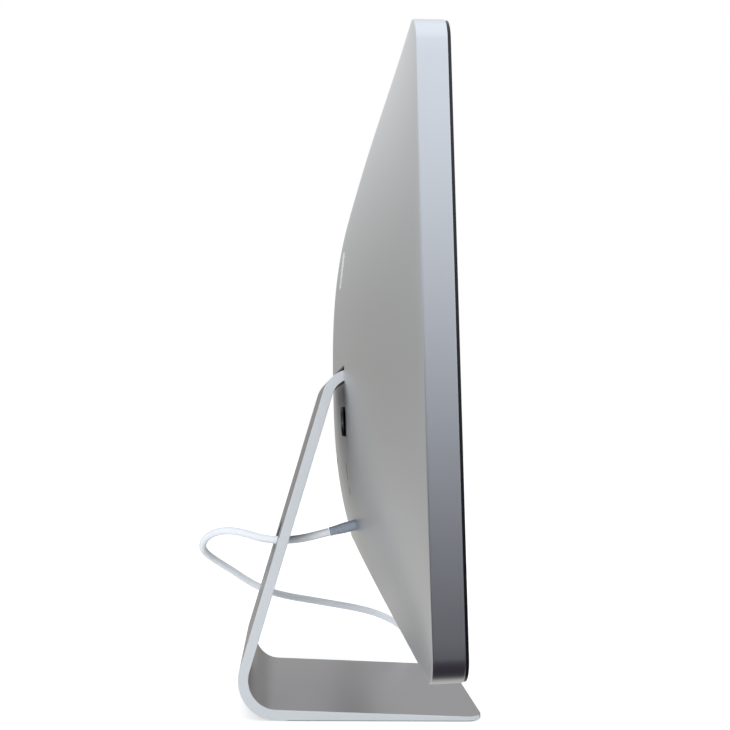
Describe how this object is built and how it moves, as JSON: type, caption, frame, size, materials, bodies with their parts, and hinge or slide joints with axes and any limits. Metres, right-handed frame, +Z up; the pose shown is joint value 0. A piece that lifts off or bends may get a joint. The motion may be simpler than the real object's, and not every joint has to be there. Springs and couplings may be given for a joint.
{
  "type": "all in one desktop computer",
  "caption": "Slim aluminium all-in-one computer with a bulged back, black-edged glass front, tilting on a bent plate stand, with its mains lead.",
  "frame": {"origin": "on the desk, under the middle of the stand's footprint", "axes": "+Z up, the screen faces -Y, +X is the right side as seen facing the screen"},
  "size_m": [0.65, 0.2926, 0.491],
  "materials": {
    "satin_aluminium": "fine bead-blasted, anodised, satin",
    "rubber_pad": "matt",
    "hinge_metal": "satin",
    "steel": "zinc plated",
    "brass_washer": "bright",
    "screw_steel": "bright",
    "black_glass": "polished, black backed",
    "black_foam": "matt foam",
    "panel_dark": "semi-gloss",
    "clear_acrylic": "clear",
    "circuit_board": "solder-masked",
    "copper_parts": "bare copper",
    "black_plastic": "fine texture",
    "painted_grey": "satin",
    "port_metal": "dull",
    "polished_disc": "polished",
    "grey_plastic": "satin",
    "white_cord": "smooth satin vinyl",
    "white_plug": "smooth satin",
    "black_tie": "hook and loop",
    "brass_pins": "bright"
  },
  "bodies": {
    "stand": {"stand_plate": "satin_aluminium", "foot_pad": "rubber_pad", "hinge_barrel": "hinge_metal", "power_cord": "white_cord", "cord_hank": "white_cord", "cord_tie": "black_tie", "plug_lead": "white_cord", "plug_body": "white_plug", "plug_pins": "brass_pins"},
    "display": {"hinge_shaft": "steel", "hinge_brackets": "steel", "friction_washers": "brass_washer", "hinge_screws": "screw_steel", "rear_housing": "satin_aluminium", "housing_posts": "steel", "front_glass": "black_glass", "glass_gasket": "black_foam", "lcd_panel": "panel_dark", "light_guide": "clear_acrylic", "panel_tray": "steel", "chassis_plate": "steel", "chassis_screws": "screw_steel", "mainboard": "circuit_board", "board_screws": "screw_steel", "cpu_heatsink": "copper_parts", "heat_pipe": "copper_parts", "fin_stack": "steel", "fan_housing": "black_plastic", "memory_modules": "circuit_board", "wireless_card": "circuit_board", "storage_drive": "painted_grey", "drive_bracket": "steel", "port_board": "circuit_board", "usb_ports": "port_metal", "network_port": "port_metal", "video_port": "port_metal", "audio_jack": "black_plastic", "psu_board": "circuit_board", "psu_transformer": "painted_grey", "psu_capacitors": "painted_grey", "psu_cover": "steel", "power_inlet": "black_plastic", "inlet_lead": "white_cord", "display_cable": "white_cord", "speaker_boxes": "black_plastic", "speaker_cones": "rubber_pad", "antennas": "copper_parts", "camera_board": "circuit_board", "camera_lens": "black_glass", "vent_grilles": "black_plastic", "badge_disc": "polished_disc", "button_spring": "steel", "button_switch": "circuit_board", "strain_relief": "grey_plastic"},
    "fan": {"fan_rotor": "black_plastic"},
    "button": {"power_button": "satin_aluminium"}
  },
  "joints": [
    {"name": "screen_tilt", "type": "hinge", "parent": "stand", "child": "display", "pos_m": [0, 0.0156, 0.2885], "axis": [-1, 0, 0], "range_deg": [-8, 21], "deforming": ["power_cord"]},
    {"name": "fan_spin", "type": "hinge", "parent": "display", "child": "fan", "pos_m": [-0.122, -0.01003, 0.20142], "axis": [0, 0.9985, -0.0551], "continuous": true},
    {"name": "power_button_press", "type": "slide", "parent": "display", "child": "button", "axis": [-0.0843, -0.9736, 0.2121], "range_m": [0, 0.0012], "stiffness_N_per_m": 400, "deforming": ["button_spring"]}
  ]
}
